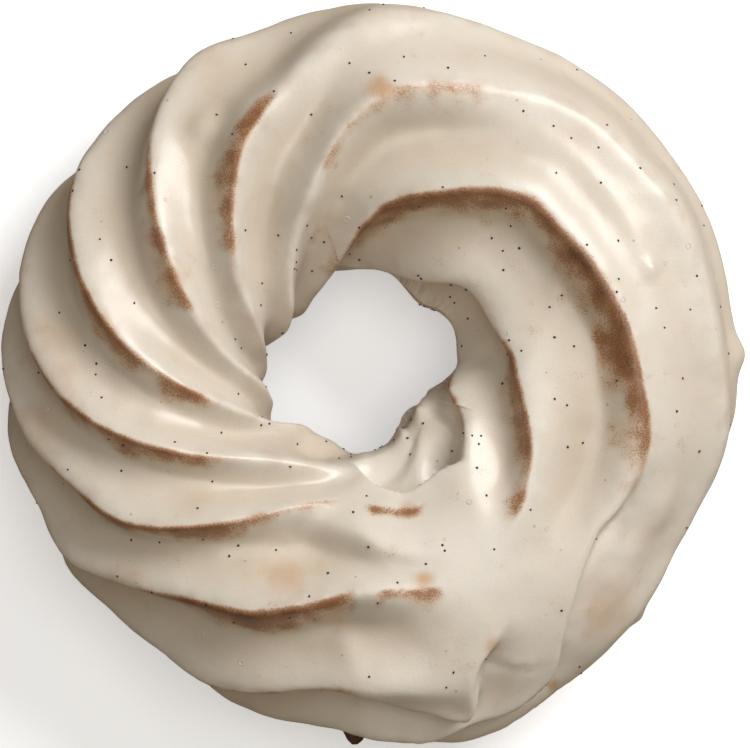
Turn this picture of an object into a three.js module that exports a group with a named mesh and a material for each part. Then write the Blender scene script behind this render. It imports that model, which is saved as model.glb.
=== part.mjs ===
// A French cruller: a strand of choux dough piped through an eight-point star nozzle, curled into a
// ring so that its ridges spiral round it, fried, then dipped face down in a thin sugar glaze.
// Millimetres and degrees. Ring angles run anticlockwise from +X, seen from above. Roll angles run
// round the strand: 0 is the outside of the ring, 90 the top, 180 the hole side, 270 the table.

import * as THREE from 'three';

// The glazed ring at twelve even stations round it.
const OUTER_RADII = [48.9, 49.8, 49.8, 49.8, 49.1, 49.4, 49.8, 48.6, 47.6, 49.1, 49.3, 47.1];
const HOLE_RADII = [10.5, 12.4, 11.5, 14.2, 13.6, 13.1, 14.6, 13.0, 10.8, 10.4, 7.0, 7.4];
const CROWN_RISES = [16.6, 17.0, 17.2, 17.0, 16.6, 16.4, 16.6, 16.9, 17.4, 17.8, 16.2, 15.9];

// The strand's section.
const AXIS_HEIGHT = 14.5;
const BELLY_DROP = 18.2;
const RIDGE_DEPTH = 5.2;
const CREST_ROUNDING = 0.22;
const BELLY_RIDGE_SHARE = 0.3;

// The roll angle of each ridge's crest at the same stations. Each ridge gains one full turn of roll
// on its way round the ring, so it meets its own start.
const RIDGE_ROLLS = [
  [-8, 0, 8, 36, 79, 119, 200, 255, 283, 305, 305, 325],
  [34, 43, 52, 78, 125, 165, 245, 298, 335, 378, 380, 372],
  [75, 90, 97, 127, 175, 215, 290, 340, 385, 413, 410, 415],
  [123, 140, 146, 174, 212, 273, 335, 385, 428, 452, 452, 464],
  [160, 180, 195, 213, 255, 315, 377, 426, 482, 486, 479, 495],
  [205, 222, 240, 257, 298, 352, 410, 479, 504, 513, 512, 528],
  [255, 270, 280, 300, 335, 393, 462, 535, 550, 559, 560, 585],
  [300, 315, 322, 342, 374, 442, 515, 575, 595, 610, 610, 635],
];

// The join, where the strand's end was pressed over its start and the ridges are smoothed away.
const JOIN_ANGLE = 299;
const JOIN_HALF_WIDTH = 24;

// The glaze. It is thin over the crests and pools in the grooves.
const GLAZE_ON_CREST = 0.7;
const GLAZE_IN_GROOVE = 1.5;
const GLAZE_GAP = 0.3;
const GLAZE_OUTER_RIM = -34;
const GLAZE_HOLE_RIM = 212;
const RIM_WAVE = 4;
const RIM_WAVES = 7;
const SHORTEST_CUT = 0.2;

// The mesh follows the ridges: each has a line on its crest, two on its flanks, one in its groove.
const STATIONS = 72;
const LINES_PER_RIDGE = 4;

const COLOURS = { dough: 0x8a5a30, glaze: 0xe3dacb };

/** A table's value at any place on its closed round, on a Catmull-Rom curve through its entries. */
function roundValue(entry, count, place) {
  const index = Math.floor(place);
  const t = place - index;
  const [before, from, to, after] = [-1, 0, 1, 2].map((step) => entry(index + step));
  const bend = 2 * before - 5 * from + 4 * to - after;
  const twist = 3 * (from - to) + after - before;
  return from + 0.5 * t * (to - before + t * (bend + t * twist));
}

/** The value of a twelve-station table at a ring angle; gain is what one full round adds. */
function atRingAngle(table, ringAngle, gain = 0) {
  const count = table.length;
  const entry = (k) => table[THREE.MathUtils.euclideanModulo(k, count)] + gain * Math.floor(k / count);
  return roundValue(entry, count, (ringAngle * count) / 360);
}

/** The roll angle of a line on the strand. Whole line numbers are crests, halves are grooves. */
function rollAngle(ringAngle, line) {
  const count = RIDGE_ROLLS.length;
  const crest = (k) => {
    const table = RIDGE_ROLLS[THREE.MathUtils.euclideanModulo(k, count)];
    return atRingAngle(table, ringAngle, 360) + 360 * Math.floor(k / count);
  };
  return roundValue(crest, count, line);
}

/** How far a line stands out between groove, 0, and crest, 1. */
function ridgeHeight(line) {
  const rounded = Math.hypot(Math.sin(Math.PI * line), CREST_ROUNDING);
  return 1 - (rounded - CREST_ROUNDING) / (Math.hypot(1, CREST_ROUNDING) - CREST_ROUNDING);
}

/** The strand's middle radius and half-width at a ring angle, with its glaze on. */
function section(ringAngle) {
  const outer = atRingAngle(OUTER_RADII, ringAngle);
  const hole = atRingAngle(HOLE_RADII, ringAngle);
  return { middle: (outer + hole) / 2, half: (outer - hole) / 2 };
}

/**
 * How much of the ridges' full depth is left at a place: little at the join and on the belly, and
 * less where a ridge runs steeply across the strand, because the ridges lie closer together there.
 */
function ridgeShare(ringAngle, line) {
  const { middle, half } = section(ringAngle);
  const turn = THREE.MathUtils.degToRad(rollAngle(ringAngle, line));
  const climb = (rollAngle(ringAngle + 1, line) - rollAngle(ringAngle - 1, line)) / 2;
  const along = middle + half * Math.cos(turn);
  const run = along / Math.hypot(along, half * climb);
  const offset = THREE.MathUtils.euclideanModulo(ringAngle - JOIN_ANGLE + 180, 360) - 180;
  const join = THREE.MathUtils.smoothstep(Math.abs(offset), JOIN_HALF_WIDTH / 3, JOIN_HALF_WIDTH);
  const belly = THREE.MathUtils.smoothstep(-Math.sin(turn), 0.3, 0.9);
  return run * join * THREE.MathUtils.lerp(1, BELLY_RIDGE_SHARE, belly);
}

/** The glaze's thickness over a line. */
function glazeThickness(line) {
  return THREE.MathUtils.lerp(GLAZE_IN_GROOVE, GLAZE_ON_CREST, ridgeHeight(line));
}

/** A point of the dough's surface, flattened where it would sink into the table. */
function doughPoint(ringAngle, line) {
  const { middle, half } = section(ringAngle);
  const turn = THREE.MathUtils.degToRad(rollAngle(ringAngle, line));
  const groove = RIDGE_DEPTH * ridgeShare(ringAngle, line) * (1 - ridgeHeight(line));
  const skin = GLAZE_GAP + GLAZE_ON_CREST + groove;
  const reach = middle + (half - skin) * Math.cos(turn);
  const rise = Math.sin(turn) > 0 ? atRingAngle(CROWN_RISES, ringAngle) : BELLY_DROP;
  const height = Math.max(0, AXIS_HEIGHT + (rise - skin) * Math.sin(turn));
  const heading = THREE.MathUtils.degToRad(ringAngle);
  return new THREE.Vector3(reach * Math.cos(heading), reach * Math.sin(heading), height);
}

/** How far inside the glaze's two wavy rims a place is, in degrees of roll; negative is bare. */
function coverage(ringAngle, line) {
  const wave = RIM_WAVE * Math.sin(THREE.MathUtils.degToRad(ringAngle * RIM_WAVES));
  const middle = (GLAZE_OUTER_RIM + GLAZE_HOLE_RIM) / 2;
  const reach = (GLAZE_HOLE_RIM - GLAZE_OUTER_RIM) / 2 + wave;
  const offset = THREE.MathUtils.euclideanModulo(rollAngle(ringAngle, line) - middle + 180, 360) - 180;
  return reach - Math.abs(offset);
}

/**
 * The corners of every triangle of a closed net of lines and stations. Each square of the net is
 * split along its short diagonal, because the roll of the lines shears it.
 */
function netFaces(lines) {
  const faces = [];
  for (let line = 0; line < lines; line++) {
    const here = line * STATIONS;
    const next = ((line + 1) % lines) * STATIONS;
    for (let station = 0; station < STATIONS; station++) {
      const ahead = (station + 1) % STATIONS;
      faces.push(here + station, here + ahead, next + station);
      faces.push(here + ahead, next + ahead, next + station);
    }
  }
  return faces;
}

/** The dough's closed surface, with the glaze's coverage and thickness noted at each vertex. */
function doughSurface() {
  const lines = RIDGE_ROLLS.length * LINES_PER_RIDGE;
  const points = [];
  const cover = [];
  const thickness = [];
  for (let vertex = 0; vertex < lines * STATIONS; vertex++) {
    const ringAngle = (360 * (vertex % STATIONS)) / STATIONS;
    const line = Math.floor(vertex / STATIONS) / LINES_PER_RIDGE;
    points.push(...doughPoint(ringAngle, line).toArray());
    cover.push(coverage(ringAngle, line));
    thickness.push(glazeThickness(line));
  }
  const surface = new THREE.BufferGeometry();
  surface.setAttribute('position', new THREE.Float32BufferAttribute(points, 3));
  surface.setAttribute('cover', new THREE.Float32BufferAttribute(cover, 1));
  surface.setAttribute('thickness', new THREE.Float32BufferAttribute(thickness, 1));
  surface.setIndex(netFaces(lines));
  surface.computeVertexNormals();
  return surface;
}

/** The vertices of the dough's surface as plain objects. */
function surfaceVertices(surface) {
  const { position, normal, cover, thickness } = surface.attributes;
  return Array.from({ length: position.count }, (_, vertex) => ({
    point: new THREE.Vector3().fromBufferAttribute(position, vertex),
    normal: new THREE.Vector3().fromBufferAttribute(normal, vertex),
    cover: cover.getX(vertex),
    thickness: thickness.getX(vertex),
  }));
}

/** The place where the glaze's rim crosses the edge between a covered vertex and a bare one. */
function rimVertex(a, b) {
  const share = THREE.MathUtils.clamp(a.cover / (a.cover - b.cover), SHORTEST_CUT, 1 - SHORTEST_CUT);
  return {
    point: a.point.clone().lerp(b.point, share),
    normal: a.normal.clone().lerp(b.normal, share).normalize(),
    cover: 0,
    thickness: THREE.MathUtils.lerp(a.thickness, b.thickness, share),
  };
}

/** The triangles of a surface that lie under the glaze, cut along its rim. */
function coveredTriangles(surface, vertices) {
  const corners = surface.index.array;
  const rim = new Map();
  const crossing = (from, to) => {
    const [low, high] = [Math.min(from, to), Math.max(from, to)];
    const edge = `${low},${high}`;
    if (!rim.has(edge)) {
      rim.set(edge, vertices.push(rimVertex(vertices[low], vertices[high])) - 1);
    }
    return rim.get(edge);
  };
  const triangles = [];
  for (let start = 0; start < corners.length; start += 3) {
    const outline = [];
    for (let side = 0; side < 3; side++) {
      const from = corners[start + side];
      const to = corners[start + ((side + 1) % 3)];
      const fromCovered = vertices[from].cover > 0;
      if (fromCovered) {
        outline.push(from);
      }
      if (fromCovered !== vertices[to].cover > 0) {
        outline.push(crossing(from, to));
      }
    }
    for (let corner = 2; corner < outline.length; corner++) {
      triangles.push([outline[0], outline[corner - 1], outline[corner]]);
    }
  }
  return triangles;
}

/** The edges of a patch of triangles that only one triangle uses, in that triangle's direction. */
function rimEdges(triangles) {
  const edges = new Map();
  for (const [a, b, c] of triangles) {
    for (const edge of [[a, b], [b, c], [c, a]]) {
      edges.set(edge.join(), edge);
    }
  }
  return [...edges.values()].filter(([from, to]) => !edges.has([to, from].join()));
}

/** The glaze: the covered patch of the dough, lifted clear of it and given its thickness. */
function glazeCoat(surface) {
  const vertices = surfaceVertices(surface);
  const triangles = coveredTriangles(surface, vertices);
  const lifted = (lift) => vertices.flatMap((vertex) => {
    return vertex.point.clone().addScaledVector(vertex.normal, lift(vertex)).toArray();
  });
  const inner = lifted(() => GLAZE_GAP);
  const outer = lifted((vertex) => GLAZE_GAP + vertex.thickness);
  const up = vertices.length;
  const faces = [];
  for (const [a, b, c] of triangles) {
    faces.push(a + up, b + up, c + up);
    faces.push(c, b, a);
  }
  for (const [from, to] of rimEdges(triangles)) {
    faces.push(to + up, from + up, from);
    faces.push(to + up, from, to);
  }
  const coat = new THREE.BufferGeometry();
  coat.setAttribute('position', new THREE.Float32BufferAttribute([...inner, ...outer], 3));
  coat.setIndex(faces);
  return coat.toNonIndexed();
}

/** A named mesh with its own material. */
function piece(name, geometry, color, roughness) {
  const material = new THREE.MeshStandardMaterial({ color, roughness, metalness: 0 });
  const mesh = new THREE.Mesh(geometry, material);
  mesh.name = name;
  return mesh;
}

const surface = doughSurface();
const dough = piece('dough_ring', surface, COLOURS.dough, 0.75);
const glaze = piece('glaze', glazeCoat(surface), COLOURS.glaze, 0.35);

const cruller = new THREE.Group();
cruller.name = 'cruller';
cruller.add(dough, glaze);

// The origin is under the middle of the whole ring, on the table.
const box = new THREE.Box3().setFromObject(cruller);
const middle = box.getCenter(new THREE.Vector3());
for (const mesh of cruller.children) {
  mesh.geometry.translate(-middle.x, -middle.y, -box.min.z);
}

export default cruller;
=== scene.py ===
"""A glazed French cruller: a ridged choux ring, the vanilla glaze on it and the seeds in the glaze."""

import logging
import math
from dataclasses import dataclass, field
from enum import Enum

import bpy
import numpy as np
from mathutils import Matrix, Vector, noise


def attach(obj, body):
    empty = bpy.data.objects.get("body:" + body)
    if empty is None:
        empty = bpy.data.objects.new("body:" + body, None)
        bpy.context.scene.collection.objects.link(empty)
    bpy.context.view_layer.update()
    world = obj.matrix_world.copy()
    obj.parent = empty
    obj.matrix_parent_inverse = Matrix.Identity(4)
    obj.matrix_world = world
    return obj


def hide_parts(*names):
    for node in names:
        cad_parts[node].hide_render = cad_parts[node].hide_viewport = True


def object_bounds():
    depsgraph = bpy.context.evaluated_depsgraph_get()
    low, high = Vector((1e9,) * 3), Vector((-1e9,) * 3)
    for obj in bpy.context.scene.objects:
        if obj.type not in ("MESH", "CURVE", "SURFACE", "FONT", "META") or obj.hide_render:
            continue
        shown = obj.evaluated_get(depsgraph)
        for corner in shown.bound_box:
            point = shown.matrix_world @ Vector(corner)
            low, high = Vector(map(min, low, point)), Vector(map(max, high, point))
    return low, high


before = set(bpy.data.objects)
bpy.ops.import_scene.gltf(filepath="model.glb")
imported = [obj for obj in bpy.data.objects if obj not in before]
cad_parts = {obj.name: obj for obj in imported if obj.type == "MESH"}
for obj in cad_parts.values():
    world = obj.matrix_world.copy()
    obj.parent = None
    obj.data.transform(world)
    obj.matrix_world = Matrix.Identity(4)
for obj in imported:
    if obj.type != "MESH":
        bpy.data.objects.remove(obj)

CAD_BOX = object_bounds()
MM = 0.001
WARM = (1.0, 0.87, 0.68)
LOG = logging.getLogger("cruller")

Floats = np.ndarray


class Side(Enum):
    """Which side of a path something happens on, seen from outside and walking along it."""

    LEFT = 1
    RIGHT = -1


class Rim(Enum):
    """The two rims where the glaze ends; the value's sign says which way it lies from between."""

    OUTSIDE = 1.0
    HOLE = -1.0


def smooth(low: float, high: float, value: Floats) -> Floats:
    """A soft step from 0 at low to 1 at high.

    Args:
        low: Where the step starts. It may lie above high, which turns the step round.
        high: Where the step ends.
        value: What is stepped.

    Returns:
        The step at each value.
    """
    share = np.clip((value - low) / (high - low), 0.0, 1.0)
    return share * share * (3.0 - 2.0 * share)


def lerp(low: Floats, high: Floats, share: Floats) -> Floats:
    """The blend from low to high by share."""
    return low + (high - low) * share


def wrapped(degrees: Floats) -> Floats:
    """Angles brought between -180 and 180."""
    return (degrees + 180.0) % 360.0 - 180.0


def curve(before: Floats, here: Floats, after: Floats, beyond: Floats, share: Floats) -> Floats:
    """A Catmull-Rom curve between the middle two of four values.

    Args:
        before: The value ahead of the stretch.
        here: The value where the stretch starts.
        after: The value where it ends.
        beyond: The value past it.
        share: How far along the stretch the curve is read, from 0 to 1.

    Returns:
        The value on the curve.
    """
    bend = 2 * before - 5 * here + 4 * after - beyond
    twist = 3 * (here - after) + beyond - before
    return here + 0.5 * share * (after - before + share * (bend + share * twist))


def round_value(table: Floats, ring_angle: Floats, gain: float = 0.0) -> Floats:
    """A table of even stations round the ring, read on a Catmull-Rom curve.

    Args:
        table: The values, one for each station, along the first axis.
        ring_angle: Where it is read, in degrees.
        gain: What one full round adds.

    Returns:
        The value at each ring angle.
    """
    count = len(table)
    place = ring_angle * count / 360.0
    index = np.floor(place).astype(int)
    around = (
        table[(index + step) % count] + gain * ((index + step) // count)
        for step in (-1, 0, 1, 2)
    )
    return curve(*around, place - index)


def noise_at(points: Floats, size: float, seed: float, depth: int = 1) -> Floats:
    """Smooth noise between about -1 and 1.

    Args:
        points: Places in millimetres.
        size: How far apart the bumps lie, in millimetres.
        seed: Shifts the pattern, so that two uses differ.
        depth: How many finer layers are added, each half the size and strength.

    Returns:
        The noise at each point.
    """
    total = np.zeros(len(points))
    for layer in range(depth):
        share = 0.5**layer
        places = points / (size * share) + seed + 7.3 * layer
        total += share * np.array([noise.noise(Vector(place)) for place in places])
    return total


@dataclass(frozen=True)
class Fold:
    """A line where one stretch of the strand lies over another, and the surface drops beside it.

    Places are ring and roll angles in degrees, and sizes are in millimetres.
    """

    path: tuple[tuple[float, float], ...]
    drop: float
    reach: float
    side: Side
    lip: float = 0.0
    edge: float = 0.7
    ring_span: float = 60.0
    roll_span: float = 100.0

    def stations(self, per_leg: int = 6) -> Floats:
        """The path as a smooth run of close points.

        Args:
            per_leg: How many points each leg of the path gets.

        Returns:
            One row of ring and roll angle for each point.
        """
        corners = np.array(self.path)
        padded = np.vstack([2 * corners[0] - corners[1], corners, 2 * corners[-1] - corners[-2]])
        points = []
        for leg in range(len(corners) - 1):
            points += [curve(*padded[leg : leg + 4], t) for t in np.arange(per_leg) / per_leg]
        points.append(corners[-1])
        return np.array(points)

    def relief(self, ring_angle: Floats, roll: Floats, reach: Floats, half: Floats) -> Floats:
        """How far the surface stands out, in millimetres; what drops is negative.

        Args:
            ring_angle: Ring angle of each place.
            roll: Roll angle of each place.
            reach: Distance of each place from the ring's middle.
            half: The strand's half-width at each place.

        Returns:
            The relief at each place.
        """
        stations = self.stations()
        middle = stations.mean(axis=0)
        near_ring = np.abs(wrapped(ring_angle - middle[0])) < self.ring_span
        window = near_ring & (np.abs(wrapped(roll - middle[1])) < self.roll_span)
        total = np.zeros(len(roll))
        ring_angle, roll, reach, half = (each[window] for each in (ring_angle, roll, reach, half))
        along = np.radians(wrapped(ring_angle[:, None] - stations[:, 0])) * reach[:, None]
        across = np.radians(wrapped(roll[:, None] - stations[:, 1])) * half[:, None]
        start = np.stack([-along[:, :-1], -across[:, :-1]], axis=-1)
        end = np.stack([-along[:, 1:], -across[:, 1:]], axis=-1)
        leg = end - start
        length = np.maximum((leg**2).sum(-1), 1e-9)
        share = np.clip(-(start * leg).sum(-1) / length, 0.0, 1.0)
        nearest = start + leg * share[..., None]
        distance = np.hypot(nearest[..., 0], nearest[..., 1])
        best = distance.argmin(axis=1)
        rows = np.arange(len(best))
        leg, nearest, distance = leg[rows, best], nearest[rows, best], distance[rows, best]
        turn = leg[:, 1] * nearest[:, 0] - leg[:, 0] * nearest[:, 1]
        signed = np.where(turn >= 0, 1.0, -1.0) * distance * self.side.value
        progress = (best + share[rows, best]) / (len(stations) - 1)
        fade = smooth(0.0, 0.2, progress) * smooth(1.0, 0.8, progress)
        fade = fade * np.exp(-((distance / (2.2 * self.reach)) ** 2))
        down = smooth(-self.edge, self.edge, signed)
        down = down * np.exp(-((np.maximum(signed, 0) / self.reach) ** 2))
        up = np.exp(-((signed / (2 * self.edge + 0.6)) ** 2)) * (signed < 0)
        total[window] = fade * (self.lip * up - self.drop * down)
        return total


@dataclass(frozen=True)
class BareAndShadeSpan:
    """A stretch of one ridge's crest where the glaze ran thin and the crust shows through, laid on the
    crest's flank turned away from the key light, so that it also paints that flank's shade.

    Angles are in degrees and the width is in millimetres, measured down the lee flank.
    """

    ridge: int
    start: float
    end: float
    strength: float
    width: float


@dataclass(frozen=True)
class Swell:
    """A round lump on the strand. Places are in degrees and sizes in millimetres."""

    ring: float
    roll: float
    size: float
    rise: float


@dataclass(frozen=True)
class Notch:
    """A place where the glaze stops short and the crust comes out from under its outer rim.

    The place, width and climb are in degrees, and the bulge of the crust is in millimetres.
    """

    ring: float
    width: float
    climb: float
    bulge: float


@dataclass(frozen=True)
class Stain:
    """An amber spot, by its place on the plan and its size in millimetres."""

    across: float
    up: float
    size: float
    strength: float


@dataclass(frozen=True)
class Strand:
    """The piped strand, curled into a ring. Sizes are in millimetres and angles in degrees.

    Ring angles run anticlockwise from +X. Roll angles run round the strand: 0 is the outside of
    the ring, 90 the top, 180 the hole side and 270 the table.
    """

    outer_radii: tuple[float, ...] = (
        48.9, 49.8, 49.8, 49.8, 49.1, 49.4, 49.8, 48.6, 47.6, 49.1, 49.3, 47.1,
    )
    hole_radii: tuple[float, ...] = (
        10.5, 12.4, 11.5, 14.2, 13.6, 13.1, 14.6, 13.0, 10.8, 10.4, 7.0, 7.4,
    )
    outer_trims: tuple[float, ...] = (
        -1.17, -1.43, -1.27, -0.76, -1.08, -0.43, -0.5, -0.77, 0.15, 1.4, 0.54, -0.35,
        1.04, 0.37, 0.23, 0.77, 0.62, 0.49, 0.46, 0.49, -0.53, 0.82, -1.2, -1.13,
        0.4, -0.56, -1.95, -0.06, 1.1, -0.1, -1.7, -1.66, -1.17, -1.45, -1.23, -0.35,
    )
    hole_trims: tuple[float, ...] = (
        -2.52, -1.54, -1.34, -0.79, -0.06, 0.22, -0.44, -0.76, -0.64, 0.1, 0.68, 1,
        0.97, 0.43, -0.44, 0.13, 1.09, 0.91, -0.24, 0.23, 1.02, -1.12, -1.24, -1.13,
        -0.68, -0.48, -0.83, -1.25, -1.17, -1.25, -1.73, -1.73, -1.77, -1.71, -2.06, -2.93,
    )
    crown_rises: tuple[float, ...] = (
        16.6, 17.0, 17.2, 17.0, 16.6, 16.4, 16.6, 16.9, 17.4, 17.8, 16.2, 15.9,
    )
    ridge_rolls: tuple[tuple[float, ...], ...] = (
        (-8, 0, 8, 36, 79, 126, 204, 255, 283, 305, 305, 325),
        (34, 43, 52, 78, 125, 165, 245, 298, 335, 378, 380, 372),
        (75, 90, 97, 127, 175, 215, 290, 340, 385, 413, 410, 415),
        (123, 140, 146, 174, 212, 273, 335, 385, 431, 453, 448, 462),
        (160, 180, 195, 213, 255, 315, 377, 426, 482, 486, 479, 495),
        (205, 222, 240, 257, 298, 352, 410, 479, 504, 513, 512, 528),
        (255, 270, 280, 300, 335, 393, 462, 535, 550, 559, 560, 585),
        (300, 315, 322, 342, 380, 446, 510, 575, 595, 610, 610, 635),
    )
    axis_height: float = 14.5
    belly_drop: float = 16.8
    ridge_depth: float = 6.2
    deepest: float = 4.6
    even_pitch: float = 45.0
    crest_rounding: float = 0.34
    belly_ridge_share: float = 0.75
    end_tip: tuple[float, float] = (256.0, 293.0)
    start_tip: tuple[float, float] = (302.0, 330.0)
    lean: float = 0.16
    outer_ridge_share: float = 0.27
    lean_heading: float = 20.0
    wanders: tuple[tuple[float, int, float], ...] = ((0.5, 4, 2.1), (0.4, 9, 1.3))
    unevenness: tuple[tuple[float, float, float], ...] = ((0.34, 11.0, 3.1), (0.1, 3.2, 8.7))
    foot_round: float = 1.0
    swells: tuple[Swell, ...] = (
        Swell(125.8, 56.0, 2.5, 1.0),
        Swell(21.7, 63.5, 1.2, 0.5),
        Swell(262.0, 62.0, 3.0, 0.5),
        Swell(334.0, 40.0, 3.5, 0.5),
        Swell(317.5, 2.0, 1.6, 0.8),
        Swell(4.0, 0.0, 2.3, 1.2),
    )
    folds: tuple[Fold, ...] = (
        Fold(
            (
                (250, 160), (256, 153), (260, 148), (266, 141), (273, 137), (280, 133.5), (288, 131),
                (298, 128), (308, 125), (315, 121),
            ),
            drop=4.0, reach=7.0, side=Side.LEFT, lip=0.3, edge=0.6,
        ),
        Fold(
            (
                (250, 36), (256, 40), (262, 42), (267, 43), (272.4, 38.5), (277.5, 38), (281, 34),
                (284, 32), (286.2, 38), (286.8, 49), (288.6, 56), (292.4, 61), (298, 67),
            ),
            drop=3.2, reach=6.0, side=Side.RIGHT, lip=0.5, edge=1.15,
        ),
        Fold(
            (
                (258, 10), (268, 14), (276, 18), (284, 20), (290, 20), (296, 23), (299.2, 25),
                (302.0, 33), (304.5, 41), (308.5, 50), (315, 58), (323, 62), (330, 60),
                (338, 61), (346, 60),
            ),
            drop=2.6, reach=5.5, side=Side.RIGHT, lip=0.4, edge=1.0,
        ),
    )

    def section(self, ring_angle: Floats) -> tuple[Floats, Floats]:
        """The strand's middle line and width, with its glaze on.

        Args:
            ring_angle: Where it is read.

        Returns:
            The middle radius and the half-width at each ring angle.
        """
        outer = round_value(np.array(self.outer_radii), ring_angle)
        outer = outer + round_value(np.array(self.outer_trims), ring_angle)
        hole = round_value(np.array(self.hole_radii), ring_angle)
        hole = hole + round_value(np.array(self.hole_trims), ring_angle)
        return (outer + hole) / 2, (outer - hole) / 2

    def crests(self, ring_angle: Floats) -> Floats:
        """Where the crests run.

        Args:
            ring_angle: Where they are read.

        Returns:
            The roll of every crest, one row each, with the first repeated a turn on.
        """
        rolls = [
            round_value(np.array(ridge, float), ring_angle, 360.0) + self.wander(ring_angle, number)
            for number, ridge in enumerate(self.ridge_rolls)
        ]
        return np.array([*rolls, rolls[0] + 360.0])

    def wander(self, ring_angle: Floats, number: int) -> Floats:
        """How far a crest strays from its line, in degrees of roll."""
        turn = np.radians(ring_angle)
        return sum(size * np.sin(waves * turn + lag * number) for size, waves, lag in self.wanders)

    def ridge_place(self, ring_angle: Floats, roll: Floats) -> tuple[Floats, Floats, Floats, Floats]:
        """Where each place lies between the two crests on its sides.

        Args:
            ring_angle: Ring angle of each place.
            roll: Roll angle of each place.

        Returns:
            The lower crest's number, the share of the way to the next, the angle between the two,
            and how many degrees the ridges roll there for each degree round the ring.
        """
        crests = self.crests(ring_angle)
        turned = crests[0] + (roll - crests[0]) % 360.0
        lower = (turned >= crests[1:]).sum(axis=0)
        lower = np.minimum(lower, len(self.ridge_rolls) - 1)
        columns = np.arange(len(lower))
        low, high = crests[lower, columns], crests[lower + 1, columns]
        share = (turned - low) / (high - low)
        climbs = (self.crests(ring_angle + 1.0) - self.crests(ring_angle - 1.0)) / 2.0
        climb = lerp(climbs[lower, columns], climbs[lower + 1, columns], share)
        return lower, share, high - low, climb

    def flank(self, ring_angle: Floats, roll: Floats, climb: Floats) -> tuple[Floats, Floats, Floats]:
        """How the ridges lie across the strand's side.

        Args:
            ring_angle: Ring angle of each place.
            roll: Roll angle of each place.
            climb: How many degrees the ridges roll there for each degree round the ring.

        Returns:
            The distance from the ring's middle, the half-width, and the share of a step round the
            strand that leads square across the ridges.
        """
        middle, half = self.section(ring_angle)
        along = middle + half * np.cos(np.radians(roll))
        return along, half, along / np.hypot(along, half * climb)

    def join_share(self, ring_angle: Floats, roll: Floats) -> Floats:
        """How much of the ridges is left near the join, where they were smoothed away.

        Args:
            ring_angle: Ring angle of each place.
            roll: Roll angle of each place.

        Returns:
            The share, from 0 to 1.
        """
        turn = ring_angle % 360.0
        early = 34.0 * smooth(98.0, 120.0, roll % 360.0) * smooth(300.0, 240.0, roll % 360.0)
        ends = smooth(self.end_tip[1] - early, self.end_tip[0] - early, turn)
        starts = smooth(self.start_tip[0], self.start_tip[1], turn)
        under = 0.7 * smooth(120.0, 142.0, roll % 360.0) * smooth(288.0, 308.0, turn)
        return np.maximum(np.maximum(ends, starts), under)

    def grooves(self, ring_angle: Floats, roll: Floats) -> Floats:
        """How deep the surface lies below the line of the crests.

        Args:
            ring_angle: Ring angle of each place.
            roll: Roll angle of each place.

        Returns:
            The depth in millimetres.
        """
        _, share, pitch, climb = self.ridge_place(ring_angle, roll)
        turn = np.radians(roll)
        _, _, run = self.flank(ring_angle, roll, climb)
        inward = smooth(0.3, -0.3, np.cos(turn))
        belly = smooth(0.3 - 0.5 * inward, 0.9 - 0.4 * inward, -np.sin(turn))
        rounding = self.crest_rounding
        facing = np.cos(np.radians(ring_angle - self.lean_heading))
        bottom = 0.5 - self.lean * facing * smooth(-0.2, 0.4, np.sin(turn))
        beyond = 0.5 + 0.5 * (share - bottom) / (1.0 - bottom)
        share = np.where(share < bottom, 0.5 * share / bottom, beyond)
        rise = np.hypot(np.sin(np.pi * share), rounding) - rounding
        rise /= np.hypot(1.0, rounding) - rounding
        width = (pitch / self.even_pitch) ** 0.7
        filled = smooth(-0.35, 0.35, facing) * smooth(92.0, 62.0, wrapped(roll))
        width = width * lerp(1.0, self.outer_ridge_share, filled)
        depth = self.ridge_depth * run * width * self.join_share(ring_angle, roll)
        depth = self.deepest * np.tanh(depth / self.deepest)
        return depth * lerp(1.0, self.belly_ridge_share, belly) * rise

    def points(self, ring_angle: Floats, roll: Floats, skin: Floats) -> Floats:
        """Places on the strand, in millimetres from the ring's middle on the table.

        Args:
            ring_angle: Ring angle of each place.
            roll: Roll angle of each place.
            skin: How far each place lies inside the line of the crests.

        Returns:
            One row of x, y and z for each place.
        """
        middle, half = self.section(ring_angle)
        turn, heading = np.radians(roll), np.radians(ring_angle)
        flat_reach = middle + half * np.cos(turn)
        for fold in self.folds:
            skin = skin - fold.relief(ring_angle, roll, flat_reach, half)
        for swell in self.swells:
            along = np.radians(wrapped(ring_angle - swell.ring)) * flat_reach
            across = np.radians(wrapped(roll - swell.roll)) * half
            skin = skin - swell.rise * np.exp(-((along**2 + across**2) / swell.size**2))
        spots = np.stack(
            [flat_reach * np.cos(heading), flat_reach * np.sin(heading), half * np.sin(turn)], axis=-1
        )
        uneven = sum(height * noise_at(spots, size, seed) for height, size, seed in self.unevenness)
        skin = skin - uneven * smooth(-0.9, -0.5, np.sin(turn))
        reach = middle + (half - skin) * np.cos(turn)
        crown = round_value(np.array(self.crown_rises), ring_angle)
        rise = np.where(np.sin(turn) > 0, crown, self.belly_drop)
        height = self.axis_height + (rise - skin) * np.sin(turn)
        low = np.exp(np.minimum(height, self.foot_round) - self.foot_round)
        height = np.where(height > self.foot_round, height, low) - np.exp(-3.0)
        height = np.maximum(height, 0)
        return np.stack([reach * np.cos(heading), reach * np.sin(heading), height], axis=-1)


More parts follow.
